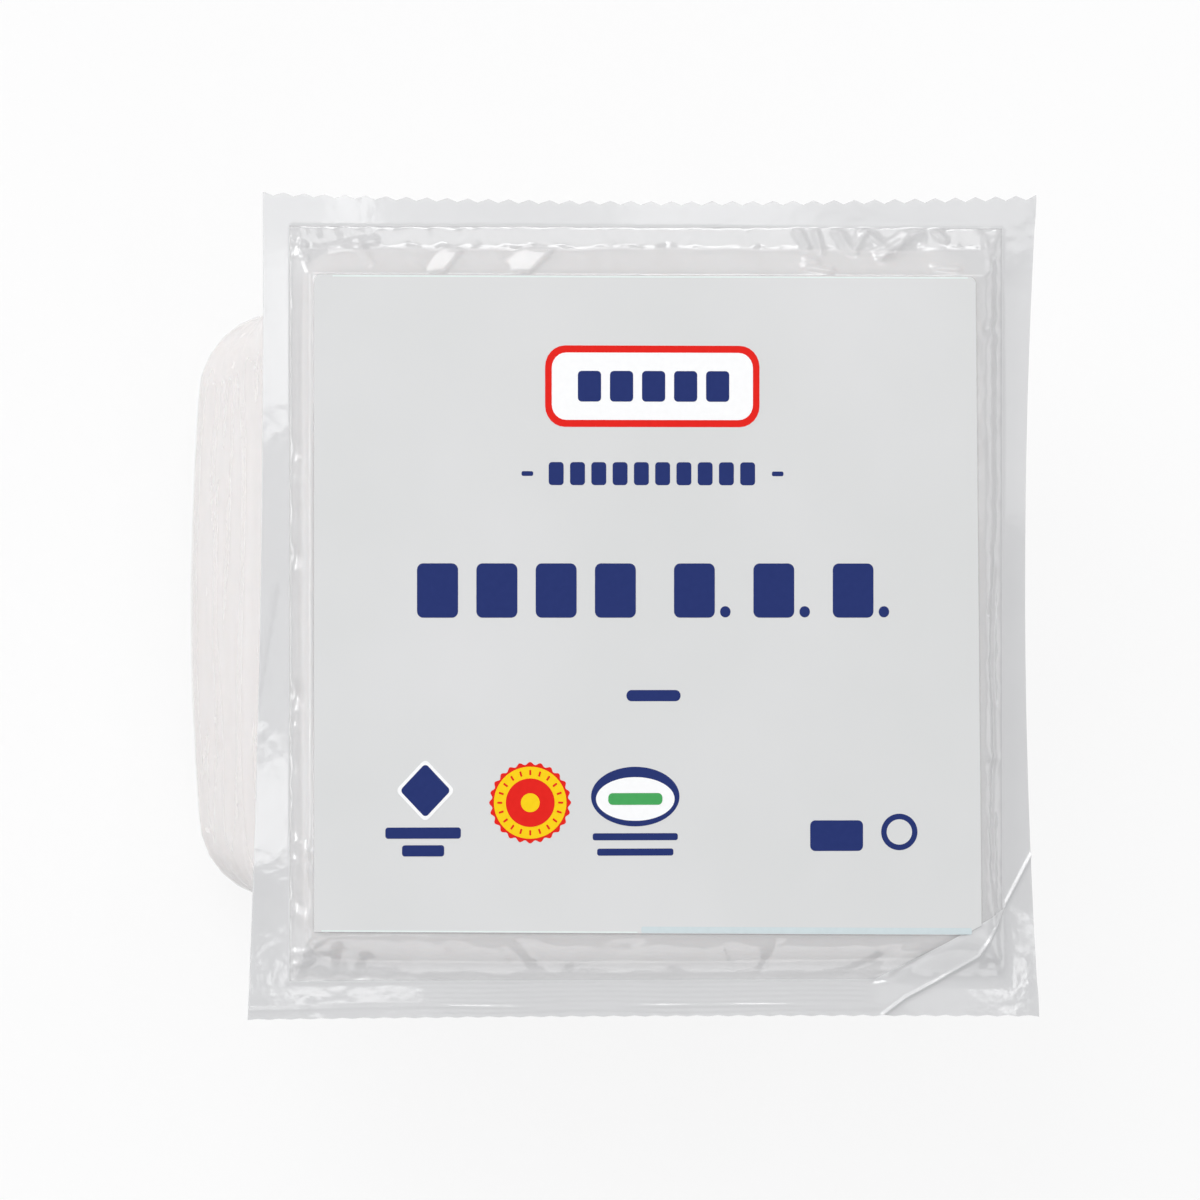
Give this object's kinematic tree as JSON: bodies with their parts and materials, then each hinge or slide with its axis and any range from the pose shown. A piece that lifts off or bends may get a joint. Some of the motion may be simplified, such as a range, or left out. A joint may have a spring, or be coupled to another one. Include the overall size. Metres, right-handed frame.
{
  "type": "vacuum packed feta block",
  "caption": "Block of white brined cheese in a clear deep-drawn vacuum pack with a saw-cut sealed rim and a flat front label.",
  "frame": {"origin": "centre of the base in plan, on the surface that the pack lies on", "axes": "+Z up, out of the front of the pack; +Y towards the rim's edge with the deep saw cut; +X to the right when the front is seen with +Y up"},
  "size_m": [0.1432, 0.1398, 0.0733],
  "materials": {
    "cheese": "creamy white cheese, moist and slightly pitted, seen through tight clear film",
    "clear_film": "clear glossy packaging film, wrinkled by the vacuum",
    "label_paper": "smooth coated paper with a few printed shapes in blue, red and yellow"
  },
  "bodies": {
    "root": {"filled_tray": "cheese", "lid_film": "clear_film", "label": "label_paper"}
  },
  "joints": []
}
